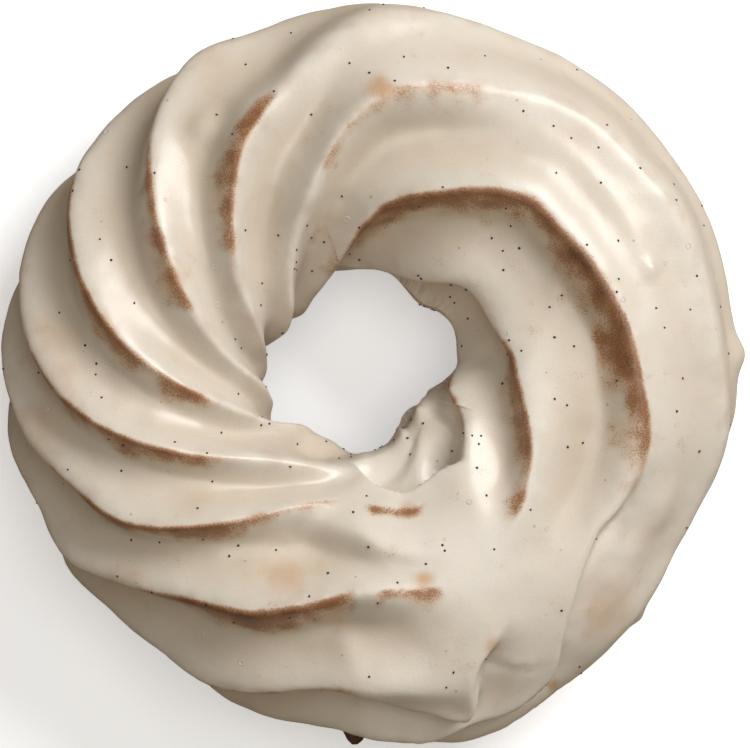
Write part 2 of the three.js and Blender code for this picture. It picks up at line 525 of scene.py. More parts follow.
@dataclass(frozen=True)
class SpeckledCream:
    """The glaze's finish: milky cream with tan and brown where the crust shows through, laid on the
    crests' sides away from the key light as painted shade too, with painted shade in the grooves and on
    the lower flanks and painted glints near the crests.
    """

    name: str = "vanilla_glaze"
    cream: tuple[float, float, float] = (0.75, 0.68, 0.59)
    cloud: tuple[float, float, float] = (0.72, 0.645, 0.55)
    veil: tuple[float, float, float] = (0.60, 0.50, 0.41)
    # Painted shade colour, warm brown-grey, for the grooves and the lower flanks.
    pooled_and_shade: tuple[float, float, float] = (0.55, 0.445, 0.325)
    amber: tuple[float, float, float] = (0.56, 0.31, 0.14)
    tan: tuple[float, float, float] = (0.54, 0.34, 0.19)
    brown: tuple[float, float, float] = (0.29, 0.118, 0.043)
    dark: tuple[float, float, float] = (0.10, 0.046, 0.02)
    # Whitish specks near the crests: sugar grain and painted glints.
    frost_and_glint: tuple[float, float, float] = (0.86, 0.82, 0.77)
    fleck: tuple[float, float, float] = (0.22, 0.20, 0.17)
    grain_scale: float = 2900.0
    speck_scale: float = 5200.0
    mottle_scale: float = 330.0
    cloud_scale: float = 70.0
    roughness: tuple[float, float] = (0.22, 0.48)
    relief: float = 0.035 * MM

    def material(self) -> bpy.types.Material:
        """Mixes the finish for a piece that has the bare, thin, painted_shade and amber attributes.

        Returns:
            The material.
        """
        dye = NodePlan(self.name)
        coords = dye.add("ShaderNodeTexCoord").outputs["Object"]
        grain = dye.noise(coords, self.grain_scale, 3.0)
        speck = dye.noise(coords, self.speck_scale, 1.0)
        mottle = dye.noise(coords, self.mottle_scale, 3.0)
        cloud = dye.noise(coords, self.cloud_scale, 2.0)
        bare, thin = dye.attribute("bare"), dye.attribute("thin")
        body = dye.mix(dye.ramp(cloud, 0.4, 0.66), self.cream, self.cloud)
        # Painted shade: the grooves and the strand's lower flanks are darkened towards a warm
        # brown-grey.
        body = dye.tint(body, dye.attribute("painted_shade"), 0.62, self.pooled_and_shade)
        body = dye.tint(body, dye.math("MULTIPLY", thin, dye.ramp(mottle, 0.32, 0.66)), 0.55, self.veil)
        stain = dye.math("ADD", dye.attribute("amber"), dye.centred(mottle, 0.35))
        body = dye.tint(body, dye.ramp(stain, 0.08, 1.1), 0.85, self.amber)
        # Painted glints near the crests, together with whitish sugar grain.
        body = dye.tint(body, dye.math("MULTIPLY", thin, dye.ramp(speck, 0.56, 0.7)), 0.35, self.frost_and_glint)
        # Tan halo, brown and dark bands: crust showing through thin glaze, laid on the crests' sides
        # away from the key light, so partly painted shade.
        halo = dye.math("ADD", bare, dye.centred(mottle, 0.6))
        body = dye.tint(body, dye.ramp(halo, 0.04, 0.5), 0.75, self.tan)
        ragged = dye.math("ADD", bare, dye.centred(speck, 1.1))
        ragged = dye.math("ADD", ragged, dye.centred(mottle, 1.1))
        body = dye.tint(body, dye.ramp(ragged, 0.24, 0.74), 0.9, self.brown)
        body = dye.tint(body, dye.ramp(ragged, 0.8, 1.2), 0.75, self.dark)
        flecks = dye.add("ShaderNodeGroup")
        flecks.node_tree = fleck_group()
        dye.link(coords, flecks.inputs["Vector"])
        body = dye.tint(body, flecks.outputs["Mask"], 0.55, self.fleck)
        shader = dye.shader
        dye.link(body, shader.inputs["Base Color"])
        dye.link(dye.spread(grain, *self.roughness), shader.inputs["Roughness"])
        shader.inputs["Subsurface Weight"].default_value = 0.3
        shader.inputs["Subsurface Radius"].default_value = (1.0, 0.7, 0.42)
        shader.inputs["Subsurface Scale"].default_value = 1.8 * MM
        shader.inputs["IOR"].default_value = 1.5
        shader.inputs["Coat Weight"].default_value = 0.14
        shader.inputs["Coat Roughness"].default_value = 0.24
        relief = dye.math("ADD", dye.scaled(grain, 0.6), dye.scaled(speck, 0.4))
        dye.bump(dye.math("ADD", relief, dye.scaled(mottle, 1.6)), self.relief)
        return dye.material


@dataclass(frozen=True)
class FriedCrust:
    """The crust's finish: golden to dark brown, wrinkled and a little oily."""

    name: str = "fried_crust"
    gold: tuple[float, float, float] = (0.46, 0.235, 0.08)
    honey: tuple[float, float, float] = (0.35, 0.155, 0.048)
    russet: tuple[float, float, float] = (0.165, 0.056, 0.019)
    dark: tuple[float, float, float] = (0.055, 0.018, 0.008)
    patch_scale: float = 95.0
    wrinkle_scale: float = 480.0
    grain_scale: float = 2300.0
    pore_scale: float = 620.0
    roughness: tuple[float, float] = (0.32, 0.6)
    relief: float = 0.45 * MM

    def material(self) -> bpy.types.Material:
        """Mixes the finish for a piece that has the toast attribute.

        Returns:
            The material.
        """
        dye = NodePlan(self.name)
        coords = dye.add("ShaderNodeTexCoord").outputs["Object"]
        patches = dye.noise(coords, self.patch_scale, 6.0)
        wrinkles = dye.noise(coords, self.wrinkle_scale, 5.0)
        grain = dye.noise(coords, self.grain_scale, 3.0)
        pores = dye.add("ShaderNodeTexVoronoi")
        pores.inputs["Scale"].default_value = self.pore_scale
        dye.link(coords, pores.inputs["Vector"])
        pits = dye.ramp(pores.outputs["Distance"], 0.3, 0.12)
        body = dye.mix(dye.ramp(patches, 0.3, 0.7), self.gold, self.honey)
        browned = dye.math("ADD", dye.attribute("toast"), dye.centred(patches, 2.2))
        browned = dye.math("ADD", browned, dye.centred(wrinkles, 1.6))
        body = dye.mix(dye.ramp(browned, 0.2, 1.0), body, self.russet)
        body = dye.tint(body, dye.ramp(browned, 0.75, 1.35), 0.85, self.dark)
        body = dye.tint(body, pits, 0.5, self.russet)
        body = dye.tint(body, dye.ramp(grain, 0.52, 0.78), 0.5, self.russet)
        dye.link(body, dye.shader.inputs["Base Color"])
        dye.link(dye.spread(grain, *self.roughness), dye.shader.inputs["Roughness"])
        relief = dye.math("ADD", dye.scaled(wrinkles, 3.0), grain)
        dye.bump(dye.math("SUBTRACT", relief, dye.scaled(pits, 0.7)), self.relief)
        return dye.material


@dataclass(frozen=True)
class SeedBlack:
    """The vanilla seeds' finish: almost black, with a faint sheen."""

    name: str = "vanilla_seed"
    black: tuple[float, float, float] = (0.012, 0.010, 0.009)
    brown: tuple[float, float, float] = (0.035, 0.022, 0.015)

    def material(self) -> bpy.types.Material:
        """Mixes the finish, which varies from seed to seed.

        Returns:
            The material.
        """
        dye = NodePlan(self.name)
        coords = dye.add("ShaderNodeTexCoord").outputs["Object"]
        body = dye.mix(dye.ramp(dye.noise(coords, 500.0, 1.0), 0.4, 0.6), self.black, self.brown)
        dye.link(body, dye.shader.inputs["Base Color"])
        dye.shader.inputs["Roughness"].default_value = 0.5
        return dye.material


class NodePlan:
    """A material under construction, with short calls for the nodes that the finishes share."""

    def __init__(self, name: str) -> None:
        """Starts a material with its shader in place.

        Args:
            name: The material's name.
        """
        self.material = bpy.data.materials.new(name)
        self.material.use_nodes = True
        self.tree = self.material.node_tree
        self.shader = self.tree.nodes["Principled BSDF"]

    def add(self, kind: str) -> bpy.types.Node:
        """Adds a node of that kind."""
        return self.tree.nodes.new(kind)

    def link(self, source: bpy.types.NodeSocket, target: bpy.types.NodeSocket) -> None:
        """Joins two sockets."""
        self.tree.links.new(source, target)

    def feed(self, socket: bpy.types.NodeSocket, value: object) -> None:
        """Links a socket, or sets it when it is given a number or a colour.

        Args:
            socket: The socket that is fed.
            value: A socket, a number or a colour of three numbers.
        """
        if isinstance(value, bpy.types.NodeSocket):
            self.link(value, socket)
        elif isinstance(value, tuple):
            socket.default_value = (*value, 1.0)
        else:
            socket.default_value = value

    def noise(self, coords: bpy.types.NodeSocket, scale: float, detail: float) -> bpy.types.NodeSocket:
        """Adds noise.

        Args:
            coords: The coordinates it is read at.
            scale: How many bumps it has to the metre.
            detail: How many finer layers it has.

        Returns:
            The noise, from 0 to 1.
        """
        node = self.add("ShaderNodeTexNoise")
        self.link(coords, node.inputs["Vector"])
        node.inputs["Scale"].default_value = scale
        node.inputs["Detail"].default_value = detail
        return node.outputs["Fac"]

    def attribute(self, name: str) -> bpy.types.NodeSocket:
        """Reads a value that the piece's mesh carries.

        Args:
            name: The attribute's name.

        Returns:
            The value.
        """
        node = self.add("ShaderNodeAttribute")
        node.attribute_name = name
        return node.outputs["Fac"]

    def math(self, kind: str, first: object, second: object) -> bpy.types.NodeSocket:
        """Works out a sum, product or other operation.

        Args:
            kind: The operation's name.
            first: A socket or a number.
            second: A socket or a number.

        Returns:
            The result.
        """
        node = self.add("ShaderNodeMath")
        node.operation = kind
        self.feed(node.inputs[0], first)
        self.feed(node.inputs[1], second)
        return node.outputs[0]

    def scaled(self, value: bpy.types.NodeSocket, gain: float) -> bpy.types.NodeSocket:
        """A value times a number."""
        return self.math("MULTIPLY", value, gain)

    def centred(self, value: bpy.types.NodeSocket, gain: float) -> bpy.types.NodeSocket:
        """Noise brought to lie evenly round zero and scaled."""
        return self.scaled(self.math("SUBTRACT", value, 0.5), gain)

    def ramp(self, value: bpy.types.NodeSocket, low: float, high: float) -> bpy.types.NodeSocket:
        """Adds a soft step.

        Args:
            value: What is stepped.
            low: Where the step is 0. It may lie above high.
            high: Where the step is 1.

        Returns:
            The step.
        """
        node = self.add("ShaderNodeMapRange")
        node.interpolation_type = "SMOOTHSTEP"
        self.link(value, node.inputs["Value"])
        node.inputs["From Min"].default_value = low
        node.inputs["From Max"].default_value = high
        return node.outputs["Result"]

    def spread(self, value: bpy.types.NodeSocket, low: float, high: float) -> bpy.types.NodeSocket:
        """Spreads a 0 to 1 value over another span.

        Args:
            value: What is spread.
            low: What 0 becomes.
            high: What 1 becomes.

        Returns:
            The spread value.
        """
        node = self.add("ShaderNodeMapRange")
        self.link(value, node.inputs["Value"])
        node.inputs["To Min"].default_value = low
        node.inputs["To Max"].default_value = high
        return node.outputs["Result"]

    def mix(self, share: bpy.types.NodeSocket, first: object, second: object) -> bpy.types.NodeSocket:
        """Blends two colours.

        Args:
            share: How much of the second colour there is.
            first: A socket or a colour.
            second: A socket or a colour.

        Returns:
            The blend.
        """
        node = self.add("ShaderNodeMix")
        node.data_type = "RGBA"
        self.link(share, node.inputs[0])
        self.feed(node.inputs[6], first)
        self.feed(node.inputs[7], second)
        return node.outputs[2]

    def tint(
        self,
        body: bpy.types.NodeSocket,
        mask: bpy.types.NodeSocket,
        strength: float,
        colour: tuple[float, float, float],
    ) -> bpy.types.NodeSocket:
        """The body colour with another laid over it where the mask is, at that strength."""
        return self.mix(self.scaled(mask, strength), body, colour)

    def bump(self, height: bpy.types.NodeSocket, depth: float) -> None:
        """Gives the shader a bump.

        Args:
            height: The relief, where 1 is the full depth.
            depth: The full depth, in metres.
        """
        node = self.add("ShaderNodeBump")
        node.inputs["Distance"].default_value = depth
        self.link(height, node.inputs["Height"])
        self.link(node.outputs["Normal"], self.shader.inputs["Normal"])


def fleck_group() -> bpy.types.NodeTree:
    """The group that marks sunken seed dust, blurred by the glaze over it.

    Returns:
        The group, which is built only once.
    """
    name = "sunken_flecks"
    if name in bpy.data.node_groups:
        return bpy.data.node_groups[name]
    tree = bpy.data.node_groups.new(name, "ShaderNodeTree")
    tree.interface.new_socket("Vector", in_out="INPUT", socket_type="NodeSocketVector")
    tree.interface.new_socket("Mask", in_out="OUTPUT", socket_type="NodeSocketFloat")
    entry = tree.nodes.new("NodeGroupInput")
    leave = tree.nodes.new("NodeGroupOutput")
    cells = tree.nodes.new("ShaderNodeTexVoronoi")
    cells.inputs["Scale"].default_value = 190.0
    spot = tree.nodes.new("ShaderNodeMapRange")
    spot.interpolation_type = "SMOOTHSTEP"
    spot.inputs["From Min"].default_value = 0.05
    spot.inputs["From Max"].default_value = 0.022
    tree.links.new(entry.outputs["Vector"], cells.inputs["Vector"])
    tree.links.new(cells.outputs["Distance"], spot.inputs["Value"])
    tree.links.new(spot.outputs["Result"], leave.inputs["Mask"])
    return tree


def deselect_all() -> None:
    """Leaves edit mode if need be, and deselects every object."""
    if bpy.context.object and bpy.context.object.mode != "OBJECT":
        bpy.ops.object.mode_set(mode="OBJECT")
    bpy.ops.object.select_all(action="DESELECT")


def coordinates(piece: bpy.types.Object) -> Floats:
    """Reads where a mesh's vertices are.

    Args:
        piece: The mesh object.

    Returns:
        One row of x, y and z for each vertex.
    """
    places = np.empty(len(piece.data.vertices) * 3)
    piece.data.vertices.foreach_get("co", places)
    return places.reshape(-1, 3)


def joined(made: list[bpy.types.Object], name: str) -> bpy.types.Object:
    """Joins copies into one smooth piece whose place is in its mesh.

    Args:
        made: The copies.
        name: The piece's name.

    Returns:
        The piece, at the origin, unturned and unscaled.
    """
    for copy in made:
        copy.select_set(True)
    bpy.context.view_layer.objects.active = made[0]
    bpy.ops.object.join()
    piece = bpy.context.object
    bpy.ops.object.transform_apply(location=True, rotation=True, scale=True)
    piece.name = piece.data.name = name
    bpy.ops.object.shade_smooth()
    return piece


def select_only(piece: bpy.types.Object, kind: str, chosen: Floats) -> None:
    """Opens a piece in edit mode with only the chosen faces or edges selected.

    Args:
        piece: The piece, which is the active object.
        kind: FACE or EDGE.
        chosen: Whether each face or edge is selected.
    """
    bpy.ops.object.mode_set(mode="EDIT")
    bpy.ops.mesh.select_mode(type=kind)
    bpy.ops.mesh.select_all(action="DESELECT")
    bpy.ops.object.mode_set(mode="OBJECT")
    parts = piece.data.polygons if kind == "FACE" else piece.data.edges
    parts.foreach_set("select", chosen)
    bpy.ops.object.mode_set(mode="EDIT")


def reshape(piece: bpy.types.Object, places: Floats) -> None:
    """Moves a mesh's vertices to new places."""
    piece.data.vertices.foreach_set("co", places.ravel())
    piece.data.update()


def note(piece: bpy.types.Object, name: str, values: Floats) -> None:
    """Writes one value to each vertex, for the material to read."""
    attribute = piece.data.attributes.new(name, "FLOAT", "POINT")
    attribute.data.foreach_set("value", values.astype(np.float32))


@dataclass
class RingNet:
    """A ring-shaped net, made from a torus whose vertices are then sent to their places.

    Attributes:
        name: The piece's name.
        stations: Steps round the ring.
        rows: Steps round the strand.
        major: The torus's radius to the middle of its tube, before it is reshaped.
        minor: The radius of its tube.
    """

    name: str
    stations: int
    rows: int
    major: float = 3.0
    minor: float = 1.0

    def add(self) -> bpy.types.Object:
        """Adds the torus at half its steps, because it takes at most 256, and cuts each in two.

        Returns:
            The torus.
        """
        deselect_all()
        bpy.ops.mesh.primitive_torus_add(
            major_segments=self.stations // 2,
            minor_segments=self.rows // 2,
            major_radius=self.major,
            minor_radius=self.minor,
        )
        bpy.ops.object.mode_set(mode="EDIT")
        bpy.ops.mesh.select_all(action="SELECT")
        bpy.ops.mesh.subdivide(number_cuts=1)
        bpy.ops.object.mode_set(mode="OBJECT")
        piece = bpy.context.object
        piece.name = self.name
        piece.data.name = self.name
        return piece

    def angles(self, places: Floats) -> tuple[Floats, Floats]:
        """Where places lie on the torus.

        Args:
            places: One row of x, y and z for each place.

        Returns:
            The ring and roll angles, in degrees.
        """
        ring = np.degrees(np.arctan2(places[:, 1], places[:, 0])) % 360.0
        out = np.hypot(places[:, 0], places[:, 1]) - self.major
        return ring, np.degrees(np.arctan2(places[:, 2], out)) % 360.0

    def keep_rows(self, piece: bpy.types.Object, low: float, high: float) -> None:
        """Deletes the torus's faces outside a span of roll angles.

        Args:
            piece: The torus, still in its first shape.
            low: Where the kept span starts, in degrees.
            high: Where it ends.
        """
        centres = np.array([polygon.center for polygon in piece.data.polygons])
        _, roll = self.angles(centres)
        outside = (roll - low) % 360.0 > high - low
        select_only(piece, "FACE", outside)
        bpy.ops.mesh.delete(type="FACE")
        bpy.ops.object.mode_set(mode="OBJECT")


@dataclass
class Surfaces:
    """The outer faces of the glaze and the crust, worked out from the strand.

    Sizes are in millimetres and angles in degrees.
    """

    strand: Strand = field(default_factory=Strand)
    # Heading of the lit side. The brown bands go on each crest's side turned away from it, as painted
    # shade as well as crust.
    lit_side_heading: float = 20.0
    outer_rim: float = -36.0
    hole_rim: float = 214.0
    rim_bead: float = 5.0
    glaze_on_crest: float = 0.6
    glaze_in_groove: float = 1.0
    groove_fill: float = 0.12
    # Brown bands on the crests: crust through thin glaze, placed on the shaded side, so partly painted
    # shade.
    bare_and_shade_spans: tuple[BareAndShadeSpan, ...] = (
        BareAndShadeSpan(7, 134, 163, 1.0, 2.3),
        BareAndShadeSpan(6, 146, 190, 0.95, 2.2),
        BareAndShadeSpan(5, 171, 209, 0.85, 2.2),
        BareAndShadeSpan(4, 194, 231, 0.95, 2.3),
        BareAndShadeSpan(4, 226, 252, 0.4, 1.0),
        BareAndShadeSpan(4, 262, 288, 0.8, 1.2),
        BareAndShadeSpan(3, 220, 263, 1.3, 3.6),
        BareAndShadeSpan(3, 267, 285, 0.85, 1.7),
        BareAndShadeSpan(2, 236, 268, 0.5, 1.6),
        BareAndShadeSpan(0, 109, 144, 1.0, 2.2),
        BareAndShadeSpan(1, 66, 112, 0.42, 2.2),
        BareAndShadeSpan(2, -26, 116, 1.15, 3.6),
        BareAndShadeSpan(3, -52, 24, 1.05, 2.4),
        BareAndShadeSpan(4, -44, 24, 0.6, 1.8),
        BareAndShadeSpan(5, -40, 0, 0.4, 1.8),
    )
    outer_waves: tuple[tuple[float, int, float], ...] = ((4.0, 7, 1.0), (3.0, 17, 0.0), (2.0, 29, 0.0))
    hole_waves: tuple[tuple[float, int, float], ...] = ((4.0, 5, 0.0), (3.0, 13, 2.0))
    ripples: tuple[tuple[float, float, float], ...] = ((1.1, 5.5, 2.2), (0.7, 2.4, 9.4))
    thin_reach: float = 1.7
    # Groove depth in millimetres that gets the full painted shade.
    full_painted_shade: float = 3.2
    amber_floor: float = 8 * MM
    rim_notches: tuple[Notch, ...] = (
        Notch(265.8, 3.4, 38.0, 6.2),
        Notch(195.0, 2.6, 30.0, 4.6),
        Notch(331.0, 3.0, 14.0, 0.5),
        Notch(86.0, 3.0, 12.0, 0.5),
    )
    amber_spots: tuple[Stain, ...] = (
        Stain(15.4, -42.8, 2.6, 0.35), Stain(25.8, 30.1, 3.5, 0.35),
        Stain(-11.6, -27.3, 3.6, 0.6), Stain(30.5, -32.3, 5, 0.55),
        Stain(-26.7, 11.2, 1.7, 1.0), Stain(5.7, -27.6, 1.5, 0.9),
        Stain(-42.4, 3.8, 4, 0.5), Stain(-43.8, -7.0, 4, 0.45),
        Stain(3.5, 17.3, 4, 0.25), Stain(0.3, 35.8, 1.9, 0.9),
        Stain(23.5, -41.7, 1.0, 1.0), Stain(3.8, -18.8, 1.4, 0.6),
        Stain(-5.9, -31.5, 3, 0.5), Stain(14.5, -36.1, 1.3, 0.7),
        Stain(-21.5, 40.9, 4, 0.4), Stain(-34.3, 5.8, 3, 0.4),
        Stain(-41.1, -1.6, 3.5, 0.5), Stain(11.6, 40.3, 3, 0.2),
        Stain(35.9, -22.6, 3, 0.3), Stain(-33.0, -27.3, 4, 0.4),
        Stain(-23.5, -17.8, 3, 0.35), Stain(-2.6, -41.5, 3.5, 0.3),
    )
    shift: Floats = field(default_factory=lambda: np.zeros(3))

    def glaze_depth(self, ring_angle: Floats, roll: Floats) -> Floats:
        """How far the glaze's outer face lies inside the line of the crests."""
        return self.strand.grooves(ring_angle, roll) * (1.0 - self.groove_fill)

    def thickness(self, ring_angle: Floats, roll: Floats) -> Floats:
        """The glaze's thickness: thin on the crests and thickest in the grooves.

        Args:
            ring_angle: Ring angle of each place.
            roll: Roll angle of each place.

        Returns:
            The thickness in millimetres.
        """
        _, share, _, _ = self.strand.ridge_place(ring_angle, roll)
        pooled_and_shade = np.abs(np.sin(np.pi * share))
        return lerp(self.glaze_on_crest, self.glaze_in_groove, pooled_and_shade)

    def rims(self, ring_angle: Floats) -> tuple[Floats, Floats]:
        """Where the glaze ends, apart from its notches.

        Args:
            ring_angle: Where the rims are read.

        Returns:
            The roll angles of the outer rim and of the one in the hole.
        """
        turn = np.radians(ring_angle)
        outer, hole = self.outer_rim, self.hole_rim
        for size, waves, lag in self.outer_waves:
            outer = outer + size * np.sin(waves * turn + lag)
        for size, waves, lag in self.hole_waves:
            hole = hole + size * np.sin(waves * turn + lag)
        return outer, hole

    def notch_rise(self, ring_angle: Floats) -> Floats:
        """How far notches lift the glaze's outer rim.

        Args:
            ring_angle: Where the rim is read.

        Returns:
            The lift in degrees of roll.
        """
        rise = np.zeros(len(ring_angle))
        for notch in self.rim_notches:
            across = wrapped(ring_angle - notch.ring) / notch.width
            rise = rise + notch.climb * np.exp(-(across**2))
        return rise

    def bareness_and_lee_shade(self, ring_angle: Floats, roll: Floats) -> Floats:
        """How much of the crust shows through the glaze on the crests, laid on each crest's side turned
        away from the key light, so that it is partly painted shade.

        Args:
            ring_angle: Ring angle of each place.
            roll: Roll angle of each place.

        Returns:
            The share, from 0 to 1.
        """
        lower, share, pitch, climb = self.strand.ridge_place(ring_angle, roll)
        along, half, run = self.strand.flank(ring_angle, roll, climb)
        turn = np.radians(roll)
        # The brown goes on the side turned away from the lit side's heading, where shade falls: painted
        # shade along with the crust.
        facing = -np.cos(np.radians(ring_angle - self.lit_side_heading)) * np.sign(np.sin(turn) + 0.15)
        heading = np.radians(ring_angle)
        spots = (along * np.cos(heading), along * np.sin(heading), half * np.sin(turn))
        spots = np.stack(spots, axis=-1)
        ripple = sum(gain * noise_at(spots, size, seed) for gain, size, seed in self.ripples)
        bare = np.zeros(len(roll))
        count = len(self.strand.ridge_rolls)
        for ridge_step in (0, 1):
            ridge = (lower + ridge_step) % count
            distance = (share - ridge_step) * np.radians(pitch) * half * run
            lee = distance * np.where(facing > 0, -1.0, 1.0)
            for span in self.bare_and_shade_spans:
                centre, reach = (span.start + span.end) / 2, (span.end - span.start) / 2
                offset = np.abs(wrapped(ring_angle - centre)) / reach
                ends = smooth(1.15, 0.6, offset)
                width = span.width * np.maximum(1.5 + 0.7 * ripple, 0.5)
                fade = np.clip(1.0 - np.maximum(lee, 0.0) / width, 0.0, 1.0)
                flank = smooth(-0.7, 0.35, lee) * fade**1.4
                share_left = span.strength * (0.95 + 0.35 * ripple) * ends * flank
                bare = np.maximum(bare, (ridge == span.ridge) * share_left)
        return np.clip(bare, 0.0, 1.0) * smooth(-0.4, 0.1, np.sin(turn))

    def thinness(self, ring_angle: Floats, roll: Floats) -> Floats:
        """How close a place is to a crest, where the glaze is thin and looks greyer.

        Args:
            ring_angle: Ring angle of each place.
            roll: Roll angle of each place.

        Returns:
            1 on a crest, falling to 0 away from it.
        """
        _, share, pitch, climb = self.strand.ridge_place(ring_angle, roll)
        _, half, run = self.strand.flank(ring_angle, roll, climb)
        distance = np.minimum(share, 1.0 - share) * np.radians(pitch) * half * run
        near = np.exp(-((distance / self.thin_reach) ** 2))
        return near * self.strand.join_share(ring_angle, roll)

    def painted_shade(self, ring_angle: Floats, roll: Floats) -> Floats:
        """Painted shade: how deep a place lies in a groove, and how low it lies on the strand's lower
        flanks, which darkens the glaze's colour there.

        Args:
            ring_angle: Ring angle of each place.
            roll: Roll angle of each place.

        Returns:
            The share, from 0 to 1.
        """
        depth = self.strand.grooves(ring_angle, roll) / self.full_painted_shade
        low = smooth(0.35, -0.25, np.sin(np.radians(roll)))
        return np.clip(np.maximum(depth, 0.0) + 0.8 * low, 0.0, 1.0)

    def amber(self, places: Floats) -> Floats:
        """How much amber stains the glaze.

        Args:
            places: One row of x, y and z for each place, in metres.

        Returns:
            The share, from 0 to 1.
        """
        amber = np.zeros(len(places))
        uneven = 1.0 + 0.55 * noise_at(places / MM, 2.2, 5.0, 2)
        for stain in self.amber_spots:
            far = np.hypot(places[:, 0] / MM - stain.across, places[:, 1] / MM - stain.up) * uneven
            amber = np.maximum(amber, stain.strength * np.exp(-((far / stain.size) ** 2)))
        return amber * (places[:, 2] > self.amber_floor)

    def outer_face(self, ring_angle: Floats, roll: Floats, skin: Floats) -> Floats:
        """Places in metres, in the part's frame, that far inside the line of the crests."""
        return self.strand.points(ring_angle, roll, skin) * MM + self.shift

    def glaze_face(self, ring_angle: Floats, roll: Floats) -> Floats:
        """Places on the glaze's outer face, in metres."""
        return self.outer_face(ring_angle, roll, self.glaze_depth(ring_angle, roll))


@dataclass
class Glaze:
    """The glaze: a closed coat with a fine outer face, a coarser inner one and rounded rims."""

    surfaces: Surfaces
    stations: int = 512
    rows: int = 212
    inner_rows: int = 106
    inner_stations: int = 256
    edge: float = 0.12
    low: float = -36.0
    high: float = 216.0
    notch_span: float = 0.24
    notch_bend: float = 1.2

    def face(self, name: str, rows: int, inner: bool) -> bpy.types.Object:
        """One face of the coat, as an open net from rim to rim.

        Args:
            name: The face's name.
            rows: Steps round the whole strand.
            inner: Whether this is the face against the crust.

        Returns:
            The shaped net, with its attributes.
        """
        net = RingNet(name, self.inner_stations if inner else self.stations, rows)
        piece = net.add()
        step = 360.0 / rows
        low = round(self.low / step) * step
        high = round(self.high / step) * step
        net.keep_rows(piece, low, high)
        ring, roll = net.angles(coordinates(piece))
        share = ((roll - low + step / 2) % 360.0 - step / 2) / (high - low)
        outer, hole = self.surfaces.rims(ring)
        roll = lerp(outer, hole, share)
        notch = self.surfaces.notch_rise(ring)
        roll = roll + notch * np.clip(1.0 - share / self.notch_span, 0.0, 1.0) ** self.notch_bend
        depth = self.surfaces.glaze_depth(ring, roll)
        thick = self.surfaces.thickness(ring, roll)
        from_rim = np.minimum(roll - outer - notch, hole - roll)
        inside = np.clip(from_rim / self.surfaces.rim_bead, 0, 1)
        rounded = np.sqrt(np.clip(1.0 - (1.0 - inside) ** 2, 0, 1))
        skin = depth + ((thick + self.edge) if inner else thick * (1.0 - rounded))
        places = self.surfaces.outer_face(ring, roll, skin)
        reshape(piece, places)
        # Crust showing through, laid on the crests' shaded sides: partly painted shade.
        note(piece, "bare", self.surfaces.bareness_and_lee_shade(ring, roll))
        note(piece, "thin", self.surfaces.thinness(ring, roll))
        # Painted shade mask for the grooves and the lower flanks.
        note(piece, "painted_shade", self.surfaces.painted_shade(ring, roll))
        note(piece, "amber", self.surfaces.amber(places))
        return piece

    def build(self) -> bpy.types.Object:
        """Models the coat and gives it its finish.

        Returns:
            The coat.
        """
        piece = self.face("glaze_coat", self.rows, inner=False)
        lining = self.face("glaze_lining", self.inner_rows, inner=True)
        lining.data.flip_normals()
        deselect_all()
        lining.select_set(True)
        piece.select_set(True)
        bpy.context.view_layer.objects.active = piece
        bpy.ops.object.join()
        for rim in Rim:
            self.bridge_rim(piece, rim)
        bpy.ops.object.shade_smooth()
        piece.data.materials.append(SpeckledCream().material())
        return piece

    def bridge_rim(self, piece: bpy.types.Object, rim: Rim) -> None:
        """Closes one rim between the outer and inner faces.

        Args:
            piece: The joined faces.
            rim: Which rim it is.
        """
        places = coordinates(piece)
        split = (CAD_BOX[1][0] - CAD_BOX[0][0]) * 0.3
        edges = np.empty(len(piece.data.edges) * 2, int)
        piece.data.edges.foreach_get("vertices", edges)
        edges = edges.reshape(-1, 2)
        uses = np.zeros(len(edges), int)
        loops = np.empty(len(piece.data.loops), int)
        piece.data.loops.foreach_get("edge_index", loops)
        np.add.at(uses, loops, 1)
        radius = np.hypot(places[edges[:, 0], 0], places[edges[:, 0], 1])
        chosen = (uses == 1) & ((radius - split) * rim.value > 0)
        select_only(piece, "EDGE", chosen)
        bpy.ops.mesh.bridge_edge_loops()
        bpy.ops.object.mode_set(mode="OBJECT")


@dataclass
class Crust:
    """The fried choux ring under the glaze, bare on its underside."""

    surfaces: Surfaces
    stations: int = 420
    rows: int = 180
    under_glaze: float = 1.45
    bulge_roll: float = -16.0
    bulge_reach: float = 14.0

    def build(self) -> bpy.types.Object:
        """Models the ring and gives it its finish.

        Returns:
            The ring.
        """
        net = RingNet("choux_crust", self.stations, self.rows)
        piece = net.add()
        ring, roll = net.angles(coordinates(piece))
        bulge = self.notched(ring, roll)
        skin = self.surfaces.glaze_depth(ring, roll) + self.under_glaze - bulge
        toast = 0.3 + 0.4 * self.surfaces.thinness(ring, roll) + np.minimum(bulge, 1.0)
        reshape(piece, self.surfaces.outer_face(ring, roll, skin))
        note(piece, "toast", np.clip(toast, 0.0, 1.4))
        bpy.ops.object.shade_smooth()
        piece.data.materials.append(FriedCrust().material())
        return piece

    def notched(self, ring_angle: Floats, roll: Floats) -> Floats:
        """How far the crust bulges out of the notches in the glaze's rim.

        Args:
            ring_angle: Ring angle of each place.
            roll: Roll angle of each place.

        Returns:
            The bulge in millimetres.
        """
        bulge = np.zeros(len(roll))
        for notch in self.surfaces.rim_notches:
            across = wrapped(ring_angle - notch.ring) / notch.width
            around = (wrapped(roll) - self.bulge_roll) / self.bulge_reach
            bulge = np.maximum(bulge, notch.bulge * np.exp(-(across**2) - around**2))
        outer, _ = self.surfaces.rims(ring_angle)
        rim = outer + self.surfaces.notch_rise(ring_angle)
        return bulge * smooth(-0.5, -8.0, wrapped(roll) - rim)


